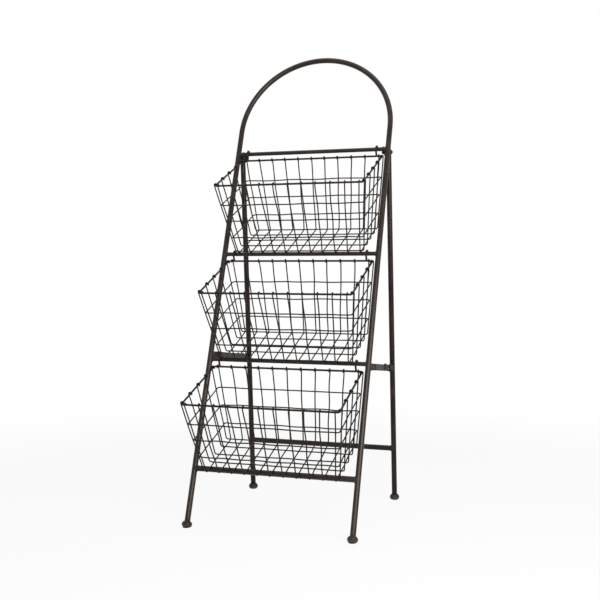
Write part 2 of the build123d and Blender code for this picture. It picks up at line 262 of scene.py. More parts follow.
# Finishes: dark bronze paint over steel, mottled by noise, lighter where it is rubbed, browner at the welds
paint = dict(
    broadShare=0.45, patchShare=0.55, mottle=(0.36, 0.66), dull=(0.35, 0.65),
    rubShare=0.75, rubPatch=0.5, worn=(0.62, 0.95), polish=0.1, brown=(0.3, 0.6),
    tint=(1.0, 0.89, 0.81, 1), reliefFine=0.6, reliefPatch=0.8, reliefDepth=0.00005,
)


def metalPaint(name, look):
    material = bpy.data.materials.new(name)
    material.use_nodes = True
    tree = material.node_tree
    nodes = tree.nodes
    place = nodes.new("ShaderNodeTexCoord").outputs["Object"]

    def noise(scale, detail, rough=0.55):
        node = nodes.new("ShaderNodeTexNoise")
        feed(node, {"Vector": place, "Scale": scale, "Detail": detail, "Roughness": rough})
        return node.outputs["Fac"]

    def ramp(value, stops):
        node = nodes.new("ShaderNodeValToRGB")
        points = node.color_ramp.elements
        for number, (at, colour) in enumerate(stops):
            point = points[number] if number < 2 else points.new(at)
            point.position = at
            point.color = (*colour, 1)
        feed(node, {"Fac": value})
        return node.outputs["Color"]

    def mix(amount, first, second):
        node = nodes.new("ShaderNodeMix")
        node.data_type = "RGBA"
        feed(node, {"Factor": amount, 6: first, 7: (*second, 1)})
        return node.outputs[2]

    def attribute(word):
        node = nodes.new("ShaderNodeAttribute")
        node.attribute_name = word
        return node.outputs["Fac"]

    def times(first, second):
        return mathNode(tree, "MULTIPLY", first, second)

    def plus(first, second):
        return mathNode(tree, "ADD", first, second)

    broad, patch, fine = noise(look["broad"], 3.0), noise(look["patch"], 5.0, 0.65), noise(look["fine"], 2.0)
    mottle = plus(times(broad, paint["broadShare"]), times(patch, paint["patchShare"]))
    stops = [(0.0, look["dark"]), (1.0, look["pale"]), (0.5, look["base"])]
    colour = ramp(rangeNode(tree, mottle, paint["mottle"]), stops)
    rubbed = plus(times(attribute("rub"), paint["rubShare"]), times(patch, paint["rubPatch"]))
    worn = rangeNode(tree, rubbed, paint["worn"])
    colour = mix(times(worn, look["wear"]), colour, look["bare"])
    brown = times(attribute("heat"), rangeNode(tree, patch, paint["brown"]))
    colour = mix(times(brown, look["scale"]), colour, look["rust"])
    dull = rangeNode(tree, mottle, paint["dull"], look["rough"])
    rough = mathNode(tree, "SUBTRACT", dull, times(worn, paint["polish"]))
    relief = nodes.new("ShaderNodeBump")
    height = plus(times(fine, paint["reliefFine"]), times(patch, paint["reliefPatch"]))
    feed(relief, {"Strength": look["bump"], "Distance": paint["reliefDepth"], "Height": height})
    feed(nodes["Principled BSDF"], {
        "Base Color": colour, "Roughness": rough, "Normal": relief.outputs["Normal"],
        "Metallic": look["metal"], "Specular IOR Level": look["gloss"], "Specular Tint": paint["tint"],
    })
    return material


bronze = dict(
    dark=(0.0065, 0.0042, 0.0034), base=(0.0135, 0.0088, 0.0071), pale=(0.036, 0.0208, 0.015),
    bare=(0.12, 0.088, 0.068), rust=(0.055, 0.03, 0.016), wear=0.55, scale=0.5,
    broad=16.0, patch=130.0, fine=1500.0, rough=(0.25, 0.34), gloss=0.3, metal=0.0, bump=0.3,
)
framePaint = metalPaint("bronze frame paint", bronze)
# painted shade: the rear frame gets a copy of the frame paint with less gloss, so that its legs and cross
# tube show a dimmer highlight, as if they lay out of the key light
shadedRearPaint = metalPaint("bronze rear paint with painted shade", dict(bronze, gloss=0.2))
wirePaint = metalPaint("bronze wire paint", dict(
    bronze, patch=240.0, fine=2600.0, wear=0.3, gloss=0.15,
))
footPaint = metalPaint("bronze foot paint", dict(
    bronze, base=(0.021, 0.0145, 0.0108), wear=0.75, rough=(0.42, 0.58),
))
stayPaint = metalPaint("grey stay paint", dict(
    bronze, dark=(0.019, 0.0165, 0.0142), base=(0.041, 0.0365, 0.0318), pale=(0.064, 0.0575, 0.0515),
    wear=0.6, scale=0.9, rough=(0.42, 0.55), gloss=0.12,
))
lugPaint = metalPaint("dull lug paint", dict(
    bronze, base=(0.0175, 0.0112, 0.0084), rough=(0.45, 0.58), gloss=0.1,
))
boltBlack = metalPaint("blackened bolt steel", dict(
    bronze, base=(0.022, 0.0195, 0.018), wear=0.8, rough=(0.34, 0.48), metal=0.2,
))
weldPaint = metalPaint("painted weld", dict(
    bronze, dark=(0.013, 0.0095, 0.007), base=(0.028, 0.0205, 0.0152), pale=(0.05, 0.037, 0.0275),
    scale=0.75, rough=(0.45, 0.6), bump=0.6,
))
print("finishes made")


# Places of the two frames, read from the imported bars
def barAxis(node):
    low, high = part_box(node)
    return np.array([0, low.y + high.y, low.z + high.z]) / 2 / mm


stand = dict(
    halfSpan=237.8, rearHalfSpan=234.0, rake=20.0, rearLean=4.5, tube=8.0, rod=6.0,
    archRise=72.0, pivotBack=26.6, pivotDrop=7.0, footHeight=16.5, legTop=6.0, hookHalf=204.3,
    lowTo=480.0, highFrom=490.0,  # heights between which the rings of the front legs change their spacing
    handleWear=0.25, footWear=0.35, footWearReach=25.0, domeWear=0.4, domeWearReach=12.0,
    hookWear=0.8, hookWearReach=7.0, weldHeatReach=9.0, barHeat=1.6,
)
frontHalf, rearHalf = stand["halfSpan"], stand["rearHalfSpan"]
bars = {name: barAxis(name) for name in ("top_bar", "second_bar", "third_bar", "bottom_bar")}
thickness = {name: stand["tube" if name == "bottom_bar" else "rod"] for name in bars}
rearBar = barAxis("rear_cross_bar")
side = np.array([1.0, 0, 0])
frontUp = np.array([0, np.sin(rad(stand["rake"])), np.cos(rad(stand["rake"]))])
frontOut = np.cross(side, frontUp)
rearUp = np.array([0, -np.sin(rad(stand["rearLean"])), np.cos(rad(stand["rearLean"]))])
rearOut = np.cross(side, rearUp)
topBar = bars["top_bar"]
frontFloor = topBar - frontUp * topBar[2] / frontUp[2]
pivotBack = stand["pivotBack"] - stand["pivotDrop"] * np.tan(rad(stand["rake"]))
pivot = topBar + [0, pivotBack, -stand["pivotDrop"]]
rearFloor = pivot - rearUp * pivot[2] / rearUp[2]
archCentre = topBar + frontUp * stand["archRise"] / frontUp[2]


def footRub(height):  # paint rubbed off just above the feet
    return stand["footWear"] * np.exp(-(height - stand["footHeight"]) / stand["footWearReach"])


# Arched tube: up one leg, over a half circle, down the other
legLength = np.linalg.norm(archCentre - frontFloor)
lowRise = np.linspace(stand["footHeight"], stand["lowTo"], 50)
rise = np.append(lowRise, np.linspace(stand["highFrom"], legLength, 76)[:-1])
leftLeg = frontFloor - frontHalf * side + rise[:, None] * frontUp
arch = archCentre + frontHalf * ringOf(np.linspace(np.pi, 0, 121), side, frontUp)
archPath = np.concatenate([leftLeg, arch, leftLeg[::-1] * [-1, 1, 1]])
heightOn = (archPath - frontFloor) @ frontUp
barRise = np.array([np.linalg.norm(axis - frontFloor) for axis in bars.values()])
archHeat = np.exp(-np.abs(heightOn[:, None] - barRise) / stand["weldHeatReach"]).sum(1)
archRub = stand["handleWear"] * np.clip((heightOn - legLength) / frontHalf, 0, 1) ** 2 + footRub(heightOn)
archTube = tube(archPath, stand["tube"], 40, rub=archRub, heat=np.clip(archHeat, 0, 1))
makePiece("arched_front_tube", [archTube], "front_frame", framePaint, ["front_frame_tube"])


def bar(axis, halfSpan, radius, up, out, hooked=False, rows=91, sides=32):
    # a rod whose ends follow the legs: x runs to halfSpan - sqrt(tube^2 - (radius * sin a)^2) at each angle
    angle = around(sides)
    nearly = 0.999  # keeps the root above zero where bar and leg are as thick
    end = halfSpan - np.sqrt(stand["tube"] ** 2 - (nearly * radius * np.sin(angle)) ** 2)
    share = np.linspace(-1, 1, rows)
    points = axis + radius * ringOf(angle, up, out) + (share[:, None] * end)[..., None] * -side
    across = np.abs(points[..., 0]).reshape(-1)
    rub = stand["hookWear"] * np.exp(-((across - stand["hookHalf"]) / stand["hookWearReach"]) ** 2)
    heat = np.exp((across - halfSpan) / stand["weldHeatReach"]) * stand["barHeat"]
    faces = [gridFaces(rows, sides)]
    return shapeOf(points.reshape(-1, 3), faces, rub=rub if hooked else None, heat=np.clip(heat, 0, 1))


weld = dict(bar=1.7, ripples=16, ripple=0.13, bulge=0.12, lump=0.08, thin=0.3, follow=0.985)


def barWelds(axis, halfSpan, radius, up, out):
    # a rippled bead along the curve where bar and leg meet, thinner where their sides run together
    angle = around(192)
    flatness = np.sqrt(1 - (weld["follow"] * radius * np.sin(angle) / stand["tube"]) ** 2)
    end = halfSpan - stand["tube"] * flatness
    beads = []
    for way in (-1, 1):
        phase = rng.uniform(0, 2 * np.pi, 3)
        swell = 1 + weld["ripple"] * np.sin(weld["ripples"] * angle + phase[0])
        swell += weld["bulge"] * np.sin(2 * angle + phase[1]) + weld["lump"] * np.sin(5 * angle + phase[2])
        thick = weld["bar"] * swell * (weld["thin"] + (1 - weld["thin"]) * flatness)
        path = axis + radius * ringOf(angle, up, out) + (way * end)[:, None] * side
        beads.append(tube(path, thick, 10, closed=True, heat=1.0))
    return beads


def plateWeld(path, bead, phase):  # a short rippled bead along a plate's edge
    ripple = bead["ripple"] * np.sin(np.linspace(0, bead["waves"], len(path)) + phase)
    return tube(path, bead["weld"] * (1 + ripple), 9, rolled=0.8, heat=1.0)


frontWelds = []
for name, axis in bars.items():
    lay = (axis, frontHalf, thickness[name], frontUp, frontOut)
    rod = bar(*lay, hooked=name != "bottom_bar")
    makePiece(name + "_rod", [rod], "front_frame", framePaint, [name])
    frontWelds += barWelds(*lay)
lay = (rearBar, rearHalf, stand["tube"], rearUp, rearOut)
makePiece("rear_cross_tube", [bar(*lay)], "rear_frame", shadedRearPaint, ["rear_cross_bar"])
rearWelds = barWelds(*lay)

# Rear legs: a straight tube closed by a dome above the pivot
rearLength = np.linalg.norm(pivot - rearFloor) + stand["legTop"]
climb = np.linspace(stand["footHeight"], rearLength, 120)
domeTurn = rad(np.linspace(0, 88, 12))[1:]
legProfile = np.concatenate([
    np.stack([climb, np.full_like(climb, stand["tube"])], -1),
    [rearLength, 0] + stand["tube"] * flatRing(domeTurn)[:, ::-1],
])
legRub = footRub(legProfile[:, 0])
legRub += stand["domeWear"] * np.exp(-((legProfile[:, 0] - rearLength) / stand["domeWearReach"]) ** 2)
rearLeg = turned(legProfile, rearFloor + rearHalf * side, rearUp, 40, legRub)
for word in ("right", "left"):
    shapes, node = handed(word, [rearLeg]), f"rear_{word}_leg"
    makePiece(f"rear_leg_{word}", shapes, "rear_frame", shadedRearPaint, [node])

# Feet: a flared ferrule turned about the leg, cut flat by the floor, with a ring groove in its sole
ferrule = dict(
    collar=[(16.5, 7.9), (16.9, 8.1), (17.0, 8.5), (16.8, 8.85)],
    flare=[(16.5, 9.0), (11.85, 13.4), (7.2, 14.6)], edge=[(7.2, 14.6), (3.6, 13.5), (0.0, 10.5)],
    below=[(-3.0, 10.5), (-6.0, 10.5)],
    soleRings=(0.93, 0.9, 0.86, 0.6, 0.56, 0.52, 0.2), soleHeights=(0.0, 0.0, 0.7, 0.7, 0.0, 0.0, 0.0),
    wear=0.75, wearAt=5.0, wearReach=4.0, collarWear=0.3, collarRows=6, soleWear=0.9,
)


def arcThrough(first, middle, last, count):  # points of the circle through three given ones
    first, middle, last = np.array(first), np.array(middle), np.array(last)
    chords = 2 * np.array([middle - first, last - first])
    centre = np.linalg.solve(chords, [middle @ middle - first @ first, last @ last - first @ first])
    begin, end = (np.arctan2(*(point - centre)[::-1]) for point in (first, last))
    turn = np.linspace(begin, begin + (end - begin + np.pi) % (2 * np.pi) - np.pi, count)
    return centre + np.linalg.norm(first - centre) * flatRing(turn)


def ferruleFoot(floor, up, out, sides=56, rows=56):
    # radius(along) about the leg, each angle running from the collar down to where it meets the floor
    ring = ringOf(around(sides), side, out)
    flare, edge = arcThrough(*ferrule["flare"], 26), arcThrough(*ferrule["edge"], 18)
    along, radius = np.concatenate([ferrule["collar"], flare, edge[1:], ferrule["below"]]).T
    meet = np.zeros(sides)
    for _ in range(12):  # along * up.z + radius * ring.z = 0, closed in on step by step
        meet = -np.interp(-meet, -along, radius) * ring[:, 2] / up[2]
    place = np.linspace(0, 1, len(along))
    stop = np.interp(-meet, -along, place)
    where = np.linspace(0, 1, rows)[:, None] * stop
    height, reach = np.interp(where, place, along), np.interp(where, place, radius)
    wall = floor + height[..., None] * up + reach[..., None] * ring
    sole = floor + (wall[-1] - floor) * np.array(ferrule["soleRings"])[:, None, None]
    sole[..., 2] = np.array(ferrule["soleHeights"])[:, None]
    points = np.concatenate([wall, sole]).reshape(-1, 3)
    count = rows + len(sole)
    rub = ferrule["wear"] * np.exp(-((height.mean(1) - ferrule["wearAt"]) / ferrule["wearReach"]) ** 2)
    rub[:ferrule["collarRows"]] += ferrule["collarWear"]
    rub = np.append(np.repeat(rub, sides), np.full(len(sole) * sides + 1, ferrule["soleWear"]))
    lastRing = (count - 1) * sides + np.arange(sides)
    faces = [gridFaces(count, sides)[:, ::-1], fanFaces(count * sides, lastRing, True)]
    return shapeOf(np.concatenate([points, [floor]]), faces, rub=rub)


frontFoot = ferruleFoot(frontFloor + frontHalf * side, frontUp, frontOut)
rearFoot = ferruleFoot(rearFloor + rearHalf * side, rearUp, rearOut)
for end, shape in (("front", frontFoot), ("rear", rearFoot)):
    for word in ("right", "left"):
        shapes, node = handed(word, [shape]), f"{end}_{word}_foot"
        makePiece(f"{end}_foot_{word}", shapes, f"{end}_frame", footPaint, [node])
print("tubes, bars and feet made")

# Hinge lugs behind the top bar, with their bolts and nuts
lug = dict(
    x=223.1, thick=5.0, end=10.0, barEnd=8.5, barRoom=6.0, rolled=0.7,
    weldTurn=82.0, weldOut=0.3, weld=1.15, ripple=0.16, waves=60.0,
)
lugBack = unit(pivot - topBar)
lugUp = np.cross(side, lugBack)
lugLength = np.linalg.norm(pivot - topBar)
slant = np.arcsin((lug["end"] - lug["barEnd"]) / lugLength)
endTurn = np.linspace(-np.pi / 2 - slant, np.pi / 2 + slant, 33)
roomTurn = np.linspace(np.pi / 2, -np.pi / 2, 17)
barEdge = lug["barEnd"] / np.cos(slant)
lugOutline = np.concatenate([
    [[0, -barEdge]], [lugLength, 0] + lug["end"] * flatRing(endTurn),
    [[0, barEdge]], lug["barRoom"] * flatRing(roomTurn),
])
onLug = laid(topBar + lug["x"] * side, lugBack, lugUp, side)
hingeLug = plate(lugOutline, lug["thick"], lug["rolled"], onLug)
weldTurn = np.linspace(rad(lug["weldTurn"]), rad(-lug["weldTurn"]), 40)
weldLine = topBar + (stand["rod"] + lug["weldOut"]) * ringOf(weldTurn, lugBack, lugUp)
lugBeads = [plateWeld(weldLine + (lug["x"] + way * lug["thick"] / 2) * side, lug, way) for way in (-1, 1)]
frontWelds += lugBeads + handed("left", lugBeads)

bolt = dict(
    tip=213.3, point=0.7, shank=3.0, threadFrom=0.5, threadEnd=220.0, runOut=0.4, pitch=1.0,
    thread=0.28, seat=242.3, head=6.5, brim=0.3, dome=4.5, headWear=0.45, shankWear=0.1,
)
threadAt = np.linspace(bolt["tip"] + bolt["threadFrom"], bolt["threadEnd"], 60)
threads = bolt["shank"] - bolt["thread"] * (0.5 + 0.5 * np.cos(2 * np.pi * threadAt / bolt["pitch"]))
ball = (bolt["head"] ** 2 + bolt["dome"] ** 2) / (2 * bolt["dome"])
domeTurn = np.linspace(np.arcsin(bolt["head"] / ball) * 0.96, 0.04, 14)
boltProfile = np.concatenate([
    [[bolt["tip"], bolt["shank"] - bolt["point"]]],
    np.stack([threadAt, threads], -1),
    [[bolt["threadEnd"] + bolt["runOut"], bolt["shank"]], [bolt["seat"] - 0.01, bolt["shank"]]],
    [[bolt["seat"], bolt["head"] - bolt["brim"]], [bolt["seat"] + bolt["brim"], bolt["head"]]],
    np.stack([bolt["seat"] + bolt["dome"] - ball * (1 - np.cos(domeTurn)), ball * np.sin(domeTurn)], -1),
])
boltRub = np.where(boltProfile[:, 0] > bolt["seat"], bolt["headWear"], bolt["shankWear"])
pivotBolt = turned(boltProfile, pivot * [0, 1, 1], side, 36, boltRub)

nut = dict(
    outer=220.3, height=5.0, flat=5.0, bore=3.0, cone=0.58, sides=72,
    edge=[0, 0.12, 0.3, 0.6, 0.9, 1.2], wear=[0.2, 0.8, 0.7, 0.5, 0.3, 0.2, 0.1],
)
nutAngle = around(nut["sides"])
hexagon = nut["flat"] / np.cos((nutAngle + np.pi / 6) % (np.pi / 3) - np.pi / 6)
nutLevel = np.append(nut["edge"], nut["height"] - np.array(nut["edge"][::-1]))
coneReach = nut["flat"] + np.minimum(nutLevel, nut["height"] - nutLevel) / nut["cone"]
nutReach = np.minimum(hexagon, coneReach[:, None])  # a hexagon held inside a cone at each face
nutReach = np.pad(nutReach, ((1, 1), (0, 0)), constant_values=nut["bore"])
nutLevel = np.pad(nutLevel, 1, mode="edge")
nutRing = ringOf(nutAngle, [0, 1, 0], [0, 0, 1])
nutPoints = pivot + (nut["outer"] - nutLevel)[:, None, None] * side + nutReach[..., None] * nutRing
nutFaces = [gridFaces(len(nutLevel), nut["sides"], True)[:, ::-1]]
nutRub = np.repeat(nut["wear"] + nut["wear"][::-1], nut["sides"])
pivotNut = shapeOf(nutPoints.reshape(-1, 3), nutFaces, rub=nutRub)
for word in ("right", "left"):
    for name, shape, slot, finish, node in (
        ("hinge_lug_plate", hingeLug, "frame_finish", framePaint, "hinge_lug"),
        ("pivot_bolt", pivotBolt, "fastener_finish", boltBlack, "pivot_bolt"),
        ("pivot_nut", pivotNut, "fastener_finish", boltBlack, "pivot_nut"),
    ):
        makePiece(f"{name}_{word}", handed(word, [shape]), "front_frame", finish, [f"{word}_{node}"])

# Stays: a strap with a leaf, a plate and studs, hinged on a front lug and hooked round a pin on a rear lug
stay = dict(
    x=232.5, below=6.5, fall=35.0, inset=45.0, leftRise=19.5, half=9.5, thick=3.0,
    rolled=0.55, corner=1.2, tongue=3.0, tail=0.6, brownFrom=60.0, brownOver=20.0,
    pin=3.0, pinHead=4.5, pinDome=2.0, pinSlack=0.05, catchSlack=0.55,
    knuckle=6.0, knuckleEdge=0.5, room=7.5, gap=0.3, middle=4.0,
    catchX=5.0, catchFloor=-2.0, catchTop=-3.0, catchRoom=12.0, curl=60.0,
    plate=47.0, plateThick=1.2, plateRolled=0.4, plateInset=0.6, plateSunk=0.05, plateBack=1.0,
    plateStep=2.0, plateDrop=3.0, plateSlope=12.0, leaf=50.0,
    studOut=0.8, studRolled=1.4, studRub=0.1, leafStud=(1.0, -1.0, 2.8), plateStud=(1.5, 2.6, 4.0),
    weld=1.2, ripple=0.15, waves=50.0, weldOut=0.4, weldShort=1.0, weldBack=2.0,
)


def stayShapes(raised):
    height = bars["third_bar"][2] - stay["below"] + raised
    start = frontFloor + frontUp * height / frontUp[2]
    end = rearFloor + rearUp * (height - stay["fall"]) / rearUp[2]
    along = unit(end - start)
    up = np.cross(side, along)
    reach = np.linalg.norm(end - start) - 2 * stay["inset"]
    hinge = start + along * stay["inset"] + stay["x"] * side
    half, thick, room, inset = stay["half"], stay["thick"], stay["room"], stay["inset"]
    middle, edge = stay["middle"], stay["middle"] + stay["gap"]
    catchX, catchFloor, catchTop = stay["catchX"], stay["catchFloor"], stay["catchTop"]

    def inPlane(offset):  # outlines of (along, up), the plate's thickness across the stand
        return laid(hinge + offset * side, along, up, side)

    def edged(corners):
        return roundedRoute(corners, stay["corner"], closed=True, step=5.0, arcStep=20.0)

    def strapPlate(corners, offset=0.0):
        return plate(edged(corners), thick, stay["rolled"], inPlane(offset))

    def facePlate(corners):  # a thin plate on the strap's outer face
        offset = (thick + stay["plateThick"]) / 2 - stay["plateSunk"]
        return plate(edged(corners), stay["plateThick"], stay["plateRolled"], inPlane(offset))

    def barrel(x, y, low, high):
        turn = rad(np.array([90, 60, 30, 0]))
        inset, drop = stay["knuckleEdge"] * (1 - np.sin(turn)), stay["knuckleEdge"] * (1 - np.cos(turn))
        levels = np.concatenate([[low], low + inset, high - inset[::-1], [high]])
        radii = np.append(stay["knuckle"] - drop, stay["knuckle"] - drop[::-1])
        profile = np.stack([levels, np.pad(radii, 1, constant_values=stay["pin"])], -1)
        wear = [0.3, 0.9, 0.6, 0.3, 0]
        return turned(profile, hinge + x * side + y * along, up, 36, wear + wear[::-1])

    def pin(x, y, low, high):
        ball = (stay["pinHead"] ** 2 + stay["pinDome"] ** 2) / (2 * stay["pinDome"])
        turn = np.linspace(0.05, np.arcsin(stay["pinHead"] / ball), 9)
        cap = np.stack([ball * (1 - np.cos(turn)), ball * np.sin(turn)], -1)
        profile = np.concatenate([
            cap + [low - stay["pinDome"], 0], [[low, stay["pin"]], [high, stay["pin"]]],
            (cap * [-1, 1] + [high + stay["pinDome"], 0])[::-1],
        ])
        wear = [0.5] * len(cap) + [0.1]
        return turned(profile, hinge + x * side + y * along, up, 32, wear + wear[::-1])

    flatStrap = strapPlate([
        (stay["tongue"], -middle), (room, -middle), (room, -half), (reach - room, -half),
        (reach - room, catchFloor), (reach + stay["tail"], catchFloor),
        (reach + stay["tail"], half), (room, half), (room, middle), (stay["tongue"], middle),
    ])
    spot = flatStrap["points"] - hinge
    brown = np.clip((spot @ along - stay["brownFrom"]) / stay["brownOver"], 0, 1)
    flatStrap["heat"] = np.where(spot @ side < 0, brown, 0)  # browner on its inner face
    arc = flatRing(rad(np.linspace(stay["curl"], 180, 24)))
    inner, outer = catchX - thick / 2, catchX + thick / 2
    hookOutline = np.concatenate([outer * arc, inner * arc[::-1]]) + [catchX, reach]
    lying = laid(hinge + (half + catchFloor) / 2 * up, side, along, up)
    hook = plate(hookOutline, half - catchFloor, stay["rolled"], lying)
    back, top = reach - stay["plate"], half - stay["plateInset"]
    step, nose = reach - room - stay["plateBack"], reach - stay["plateBack"]
    catchPlate = facePlate([
        (back, -top), (step, -top), (step, catchFloor), (nose, catchFloor + stay["plateStep"]),
        (nose, half - stay["plateDrop"]), (back + stay["plateSlope"], top), (back, top),
    ])
    strap = [flatStrap, barrel(0, 0, -middle, middle), hook, catchPlate]
    leafFrom = room + stay["plateBack"]
    leaf = [facePlate([(leafFrom, -top), (stay["leaf"], -top), (stay["leaf"], top), (leafFrom, top)])]

    tilt = half * np.tan(np.arctan2(frontUp @ along, frontUp @ up))
    frontPlate = strapPlate([
        (-inset - tilt, -half), (0, -half), (0, -edge), (-room, -edge), (-room, edge), (0, edge),
        (0, half), (-inset + tilt, half),
    ])
    frontLug = [frontPlate, barrel(0, 0, edge, half), barrel(0, 0, -half, -edge)]
    tilt = half * np.tan(np.arctan2(rearUp @ along, rearUp @ up))
    far, near = reach + inset, reach + stay["tongue"]
    rearPlate = strapPlate([
        (near, -half), (far - tilt, -half), (far + tilt, half), (reach + stay["catchRoom"], half),
        (reach + stay["catchRoom"], catchTop), (near, catchTop),
    ], catchX)
    rearLug = [rearPlate, barrel(catchX, reach, -half, catchTop)]

    slack = half + stay["pinSlack"]
    hingePin = [pin(0, 0, -slack, slack)]
    catchPin = [pin(catchX, reach, -slack, half + stay["catchSlack"])]
    studs = []
    for at, (low, high, radius) in ((stay["leaf"], stay["leafStud"]), (back, stay["plateStud"])):
        foot = hinge + at * along + (thick / 2 + stay["studOut"]) * side
        line = np.linspace(foot + (low - half) * up, foot + (half + high) * up, 8)
        studs.append(tube(line, radius, 24, rolled=stay["studRolled"], rub=stay["studRub"]))

    def legBeads(at, legUp, offset, legX, way):  # short beads where the plate's two faces meet the leg
        run = np.linspace(-half + stay["weldShort"], half - stay["weldShort"], 40)[:, None]
        beads = []
        for face in (-1, 1):
            x = stay["x"] + offset + face * thick / 2
            behind = way * np.sqrt(max(stand["tube"] ** 2 - (x - legX) ** 2, stay["weldBack"] ** 2))
            line = at + (x + face * stay["weldOut"]) * side - behind * np.cross(side, legUp) + run * legUp
            beads.append(plateWeld(line, stay, face))
        return beads

    frontBeads = legBeads(start, frontUp, 0, frontHalf, 1)
    rearBeads = legBeads(end, rearUp, catchX, rearHalf, -1)
    return strap, frontLug, rearLug, leaf, studs, hingePin, catchPin, frontBeads, rearBeads


for word, raised in (("right", 0), ("left", stay["leftRise"])):
    *groups, frontBeads, rearBeads = (handed(word, shapes) for shapes in stayShapes(raised))
    own = f"{word}_stay"
    kinds = (
        ("stay_strap", own, "stay_finish", stayPaint, ["stay_strap"]),
        ("stay_front_lug", "front_frame", "stay_finish", lugPaint, ["front_stay_lug"]),
        ("stay_rear_lug", "rear_frame", "stay_finish", lugPaint, ["rear_stay_lug"]),
        ("stay_hinge_leaf", own, "stay_finish", lugPaint, []),
        ("stay_studs", own, "fastener_finish", boltBlack, []),
        ("stay_hinge_rivet", "front_frame", "fastener_finish", boltBlack, ["stay_hinge_pin"]),
        ("stay_catch_rivet", "rear_frame", "fastener_finish", boltBlack, ["stay_catch_pin"]),
    )
    for shapes, (name, body, slot, finish, nodes) in zip(groups, kinds):
        makePiece(f"{name}_{word}", shapes, body, finish, [f"{word}_{node}" for node in nodes])
    frontWelds += frontBeads
    rearWelds += rearBeads
makePiece("front_frame_welds", frontWelds, "front_frame", weldPaint)
makePiece("rear_frame_welds", rearWelds, "rear_frame", weldPaint)
print("hinges, stays and welds made")

# Baskets, worked out with the carrying bar along x through the origin, v towards the rear and w upwards
basket = dict(
    rim=2.75, wire=1.75, coat=0.1, halfWidth=222.0, length=236.0, corner=6.0, drop=17.0,
    depth=215.5, bottomHalf=197.0, bottomRear=52.0, bottomFront=237.0, bend=6.0,
    hoops=(0.288, 0.522, 0.773), hoopCorner=5.0, longWires=11, longHalf=210.5, crossWires=5,
    crossInset=7.9, crossGap=0.1, wrapTurn=235.0, wrapPitch=1.2, wrapReach=4.5, back=12.85,
    hookTip=8.0, hookShift=1.574, hookReach=9.702, hookFoot=1.2, restGap=0.3,
    longSway=0.9, crossSway=0.8, hoopSway=0.9, swayShare=(0.4, 1.0), swayLength=(90, 260),
    spot=(2.15, 2.15, 1.5), spotSpread=(0.88, 1.15), hookBead=(3.9, 3.7, 2.4), hookBeadRise=2.2,
    rimWear=0.3, hoopWear=0.15, wireWear=0.2, knotWear=0.55, knotDrop=2.0,
)
rimLevel = -basket["drop"]
longLevel = rimLevel - basket["depth"]
pitch = 2 * basket["wire"] + basket["crossGap"]
crossLevel = longLevel + pitch
rimFront = basket["back"] + basket["length"]


def touch(corner, centre, way):  # where a line from the corner touches the wrap's circle round a rim
    reach = np.asarray(centre, float) - corner
    far = np.linalg.norm(reach)
    swing = np.arcsin(basket["wrapReach"] / far) * way
    turn = np.array([[np.cos(swing), -np.sin(swing)], [np.sin(swing), np.cos(swing)]])
    return corner + turn @ (reach / far) * np.sqrt(far ** 2 - basket["wrapReach"] ** 2)


def wrapArc(centre, start, way):
    # turns round a rim: centre + reach * (cos a, sin a), drawn out by pitch * a / 360 along the rim
    turn = np.linspace(0, basket["wrapTurn"], 22)
    begin = np.arctan2(start[1] - centre[1], start[0] - centre[0])
    ring = np.array(centre) + basket["wrapReach"] * flatRing(begin + way * rad(turn))
    return np.column_stack([ring, basket["wrapPitch"] * turn / 360])


def wrappedWire(frontCorner, rearCorner, frontRim, rearRim, frontWay, rearWay):
    # a flat route with a sideways column: wound on one rim, down, across, up and wound on the other
    frontCorner, rearCorner = np.array(frontCorner, float), np.array(rearCorner, float)
    frontTouch, rearTouch = touch(frontCorner, frontRim, 1), touch(rearCorner, rearRim, -1)
    run = roundedRoute([frontTouch, frontCorner, rearCorner, rearTouch], basket["bend"], step=7.0)
    front = wrapArc(frontRim, frontTouch, -1)[::-1] * [1, 1, frontWay]
    rear = wrapArc(rearRim, rearTouch, 1) * [1, 1, rearWay]
    return np.concatenate([front, np.pad(run[1:-1], ((0, 0), (0, 1))), rear])


def wallAt(corner, centre, way, height, inside):  # place of a wall at a height, and of what lies inside it
    wall = touch(np.array(corner, float), centre, way) - corner
    return corner[0] + wall[0] * height / wall[1] + way * inside * np.linalg.norm(wall) / wall[1]


def swayOf(amount):  # slow uneven waves, as hand-straightened wire has
    wholeTurn = 6.28
    size = amount * rng.uniform(*basket["swayShare"], 3)
    phase, length = rng.uniform(0, wholeTurn, 3), rng.uniform(*basket["swayLength"], 3)

    def wave(place, number):
        return size[number] * np.sin(place / length[number] * wholeTurn + phase[number])

    return lambda p, q: wave(p, 0) + wave(q, 1) + 0.5 * wave(p + q, 2)


def spotRow(x, v, w, normal):  # points where wires cross, and the way that they face
    return np.stack(np.broadcast_arrays(x, v, w), -1).reshape(-1, 3), normal


def swayed(sways, p, q):
    return np.array([sway(p, q) for sway in sways])


